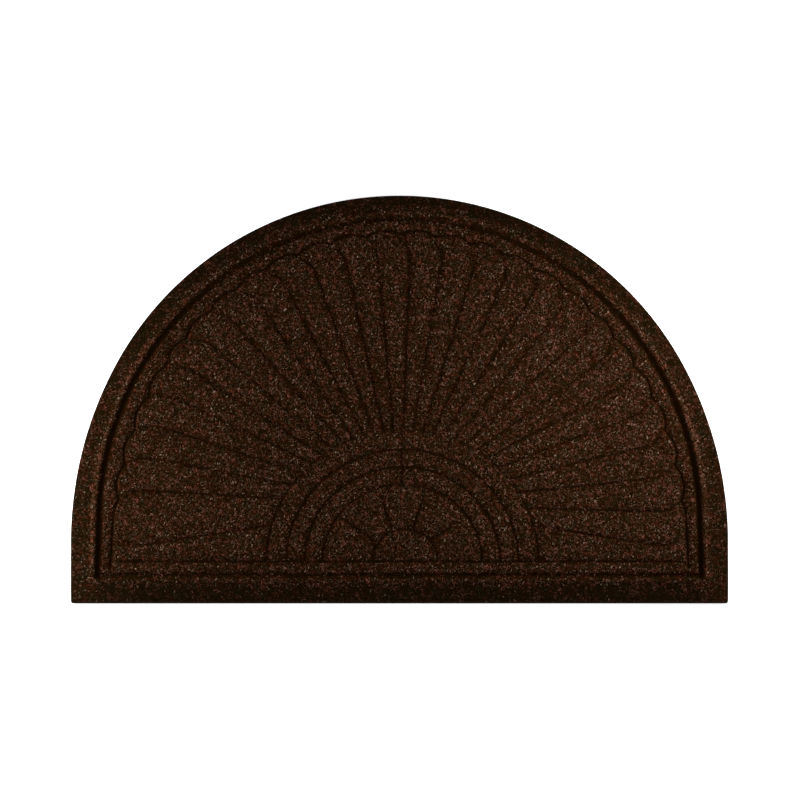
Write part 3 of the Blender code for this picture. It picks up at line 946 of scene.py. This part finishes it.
def felt_finish():
    """Dark brown felt with flecks of dyed fibre, darker by painted shade in the grooves, browner on the
    border.
    """
    finish = Finish("pressed_felt")
    dark, border, pressed = (finish.attribute(title) for title in ("dark", "border", "pressed"))
    where = finish.places()
    bent = finish.wander(where, WANDER, WANDER_REACH)
    clumps = finish.noise(where, CLUMPS)
    tufts = finish.noise(where, TUFTS, 2.0, 0.6)
    tan_here = finish.noise(where, HUES, 1.0) + (0.5 - clumps) * 1.2 + 0.12 * pressed
    reddish, greyish = (
        finish.node("ShaderNodeValToRGB", {"stops": stops}, {"Fac": tufts})
        for stops in (DULL_REDS, DULL_TANS)
    )
    colour = finish.mix(tan_here.between(0.40, 0.60), reddish, greyish)
    # fewer flecks under painted shade and on the border, more on the flanks' lip as a painted highlight
    fewer = border * BORDER_FEWER + dark * GROOVE_FEWER
    for layer in FLECKS:
        colour = flecks(finish, bent, colour, layer, clumps, fewer)
    # the border browns, partly its own colour and partly painted shade
    colour = finish.mix((border * BORDER_DUSK).between(0.0, 1.0), colour, DUSK)
    # painted shade in and beside the grooves
    finish.feed(finish.shader.inputs["Base Color"], finish.mix(dark, colour, PAINTED_GROOVE_SHADE))
    finish.feed(finish.shader.inputs["Roughness"], 0.88 + 0.1 * clumps)
    finish.shader.inputs["Specular IOR Level"].default_value = 0.0
    fuzz = finish.noise(where, FUZZ, 3.0, 0.6)
    lumps = finish.noise(where, LUMPS, 2.0, 0.5)
    relief = (fuzz * 0.6 + lumps * 0.6) * (1.0 - 0.6 * pressed)
    bump = finish.node(
        "ShaderNodeBump",
        None,
        {"Strength": FUZZ_STRENGTH, "Distance": FUZZ_HEIGHT, "Height": relief},
    )
    finish.feed(finish.shader.inputs["Normal"], bump)
    return finish.material


def backing_finish():
    """The plain back: near black, faintly pebbled by the press bed."""
    finish = Finish("pressed_back")
    where = finish.places()
    grain = finish.noise(where, 260.0, 3.0)
    colour = finish.node(
        "ShaderNodeValToRGB",
        {"stops": ((0.3, (0.010, 0.009, 0.008)), (0.7, (0.020, 0.017, 0.015)))},
        {"Fac": grain},
    )
    finish.feed(finish.shader.inputs["Base Color"], colour)
    finish.feed(finish.shader.inputs["Roughness"], 0.62 + 0.2 * grain)
    bump = finish.node("ShaderNodeBump", None, {"Strength": 0.5, "Distance": 0.0006, "Height": grain})
    finish.feed(finish.shader.inputs["Normal"], bump)
    return finish.material


mat = show("felt_mat", mat_mesh, felt_finish(), backing_finish())
slots = np.zeros(len(mat_mesh.polygons), np.int32)
slots[-1] = 1
mat_mesh.polygons.foreach_set("material_index", slots)
mat_mesh.set_sharp_from_angle(angle=math.radians(60.0))
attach(mat, "root")
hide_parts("mat")

# %% [markdown]
# Loose fibres
#
# Needled felt is never smooth: short ends of wool stand out of it everywhere, and they are what
# catches the light. Each fibre here is a small spindle, bent sideways a little, that starts and ends
# in the felt and rises a few tenths of a millimetre between. Thousands are made at once, as arrays,
# and each dye is one joined mesh.

# %% Fibres
RISE = (0.00005, 0.00045)
ROW_OF_POINT = (0, 1, 1, 1, 2, 2, 2, 3)
THINNED = 0.85


def fibre_places(count, rng):
    """Random places over the plan, fewer where the felt is pressed or darkened by painted shade."""
    found = np.empty((0, 2))
    while len(found) < count:
        tries = rng.uniform((-WIDTH / 2, 0.0), (WIDTH / 2, DEPTH), (count, 2))
        angle, distance = around(tries)
        tries = tries[distance < rim_reach(angle) - 0.004]
        dark, _, pressed = felt(tries)[1:]
        keep = rng.random(len(tries)) > np.maximum(THINNED * pressed, dark)
        found = np.vstack([found, tries[keep]])
    return found[:count]


def fibres(name, count, length, width, material, seed):
    """One joined mesh of bent spindles.

    Along its length u from -1 to 1 a fibre runs u L / 2 forwards and b L u u sideways, follows the
    felt's height, and rises in the middle. Two rings of three points carry its thickness.
    """
    rng = np.random.default_rng(seed)
    middle = fibre_places(count, rng)
    turn = rng.uniform(0.0, 2.0 * math.pi, count)
    long = length * rng.uniform(0.6, 1.4, count)
    thick = width * rng.uniform(0.7, 1.3, count) / 2.0
    bend = rng.uniform(-0.35, 0.35, count)
    rise = rng.uniform(*RISE, count)
    u = np.array([-1.0, -0.36, 0.36, 1.0])
    forward = np.column_stack([np.cos(turn), np.sin(turn)])
    sideways = np.column_stack([-np.sin(turn), np.cos(turn)])
    along = (long[:, None] * u / 2.0)[..., None]
    aside = (bend * long)[:, None, None] * (u**2)[:, None]
    axis = middle[:, None] + forward[:, None] * along + sideways[:, None] * aside
    height, dark, border, pressed = felt(axis.reshape(-1, 2)).reshape(4, count, 4)
    level = height + rise[:, None] * (1.2 - 1.5 * u**2)
    points = np.empty((count, 8, 3))
    points[:, [0, 7], :2] = axis[:, [0, 3]]
    points[:, [0, 7], 2] = level[:, [0, 3]]
    for ring_number, row in ((1, 1), (4, 2)):
        for corner in range(3):
            angle = math.radians(90.0 + 120.0 * corner)
            across, above = math.cos(angle) * thick, math.sin(angle) * thick
            points[:, ring_number + corner, :2] = axis[:, row] + sideways * across[:, None]
            points[:, ring_number + corner, 2] = level[:, row] + above
    points[..., 1] -= DEPTH / 2
    near_tips = [(0, 1 + k, 1 + (k + 1) % 3) for k in range(3)]
    far_tips = [(7, 4 + (k + 1) % 3, 4 + k) for k in range(3)]
    tips = np.array(near_tips + far_tips)
    sides = np.array([(1 + k, 4 + k, 4 + (k + 1) % 3, 1 + (k + 1) % 3) for k in range(3)])
    first = 8 * np.arange(count)[:, None, None]
    faces = [(first + tips).reshape(-1, 3), (first + sides).reshape(-1, 4)]
    # the fibres take the felt's painted shade and border numbers too
    kept = [("dark", dark[:, ROW_OF_POINT].ravel()), ("border", border[:, ROW_OF_POINT].ravel())]
    piece = show(name, new_mesh(name, points.reshape(-1, 3), faces, kept), material)
    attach(piece, "root")
    print(name + ":", count, "fibres")
    return piece


def fibre_finish(name, dark, pale):
    """A dyed fibre, whose tone changes from one tuft to the next, browner on the border and darker under
    the grooves' painted shade.
    """
    finish = Finish(name)
    tone = finish.noise(finish.places(), 800.0, 2.0)
    colour = finish.mix(tone.between(0.35, 0.65), dark, pale)
    # the border browns it, partly its own colour and partly painted shade; the grooves' painted shade
    # darkens it
    colour = finish.mix((finish.attribute("border") * BORDER_DUSK).between(0.0, 1.0), colour, DUSK)
    finish.feed(finish.shader.inputs["Base Color"], finish.mix(finish.attribute("dark"), colour, PAINTED_GROOVE_SHADE))
    finish.feed(finish.shader.inputs["Roughness"], 0.7 + 0.2 * tone)
    finish.shader.inputs["Specular IOR Level"].default_value = 0.005
    return finish.material


FIBRES = (
    # name, count, length, width, dark tone, pale tone
    ("fibres_night", 15000, 0.0046, 0.00050, (0.0045, 0.0013, 0.0003), DARK_TAN),
    ("fibres_bark", 12000, 0.0044, 0.00048, DARK_TAN, BARK),
    ("fibres_brick", 9000, 0.0042, 0.00046, DARK_RED, BRICK),
    ("fibres_rose", 6000, 0.0040, 0.00044, BRICK, PINK),
    ("fibres_sand", 4500, 0.0038, 0.00040, BARK, SAND),
)
for seed, (name, count, length, width, dark, pale) in enumerate(FIBRES):
    finish = fibre_finish(name, dark, pale)
    count = count
    fibres(name, count, length, width, finish, seed)

# %% [markdown]
# The sheet's facts
#
# The mat was cut flat and lies flat, so its cut size is its own width and depth. The half moon fills
# only part of that rectangle.

# %% [markdown]
# Studio
#
# The mat lies on a white light table and is seen from straight above. Light from up there would
# flatten the relief, so two lamps lean in close over the flanks, two low ones rake along the face
# from the sides, and a broad box behind the crown and another behind the foot fill the rest. The
# table glows a little, which keeps it white while the felt stays as dark as it is.

# %% Floor
FLOOR_SIZE = 24.0
FLOOR_DROP = 0.0004
FLOOR_GLOW = 0.60


def pale_floor():
    """A smooth white light table, just under the mat."""
    half = FLOOR_SIZE / 2
    corners = [(-half, -half), (half, -half), (half, half), (-half, half)]
    finish = Finish("white_table")
    tone = finish.noise(finish.places(), 3.0)
    white = finish.mix(tone, (0.92, 0.92, 0.92), (0.94, 0.94, 0.94))
    finish.feed(finish.shader.inputs["Base Color"], white)
    finish.shader.inputs["Roughness"].default_value = 0.9
    finish.shader.inputs["Emission Color"].default_value = (1.0, 1.0, 1.0, 1.0)
    finish.shader.inputs["Emission Strength"].default_value = FLOOR_GLOW
    points = [(x, y, -FLOOR_DROP) for x, y in corners]
    return show("table_top", new_mesh("table_top", points, [np.arange(4)[None]]), finish.material)


pale_floor()

# %% Lights and camera
LIGHTS = (
    # name, place, target, size, energy
    ("left_lamp", (-0.63, -0.06, 0.56), (-0.38, -0.04, 0.0), (0.25, 0.30), 2.4),
    ("right_lamp", (0.38, 0.05, 0.42), (0.23, 0.03, 0.0), (0.25, 0.30), 2.3),
    ("left_low", (-1.00, -0.12, 0.17), (0.0, -0.07, 0.0), (0.20, 0.50), 11.0),
    ("right_low", (1.10, 0.10, 0.10), (0.0, 0.06, 0.0), (0.12, 0.50), 15.5),
    ("crown_box", (0.0, 1.40, 1.30), (0.0, 0.84, 0.0), (1.20, 0.80), 7.4),
    ("foot_box", (0.0, -1.40, 1.30), (0.0, -0.84, 0.0), (1.20, 0.80), 3.8),
)
WORLD_STRENGTH = 0.18
LENS, SENSOR = 85.0, 36.0
VIEW_WIDTH = 1.2023


def aim(thing, target):
    """Turns a light so that it shines towards a point."""
    from_to = np.array(target) - np.array(thing.location)
    flat = math.hypot(from_to[0], from_to[1])
    turn = math.atan2(from_to[1], from_to[0]) - math.pi / 2
    thing.rotation_euler = (math.atan2(flat, -from_to[2]), 0.0, turn)


for name, place, target, size, energy in LIGHTS:
    light = bpy.data.lights.new(name, "AREA")
    light.shape, light.size, light.size_y, light.energy = "RECTANGLE", size[0], size[1], energy
    lamp = bpy.data.objects.new(name, light)
    lamp.location = place
    lamp.visible_camera = False
    aim(lamp, target)
    bpy.context.scene.collection.objects.link(lamp)

world = bpy.data.worlds.new("studio")
world.use_nodes = True
world.node_tree.nodes["Background"].inputs["Color"].default_value = (1.0, 1.0, 1.0, 1.0)
world.node_tree.nodes["Background"].inputs["Strength"].default_value = WORLD_STRENGTH
bpy.context.scene.world = world

camera = bpy.data.objects.new("camera", bpy.data.cameras.new("camera"))
camera.data.lens, camera.data.sensor_width = LENS, SENSOR
camera.location = (0.0, 0.0, VIEW_WIDTH * LENS / SENSOR + FACE_TOP / 2)
bpy.context.scene.collection.objects.link(camera)
bpy.context.scene.camera = camera
bpy.context.scene.view_settings.view_transform = "Standard"
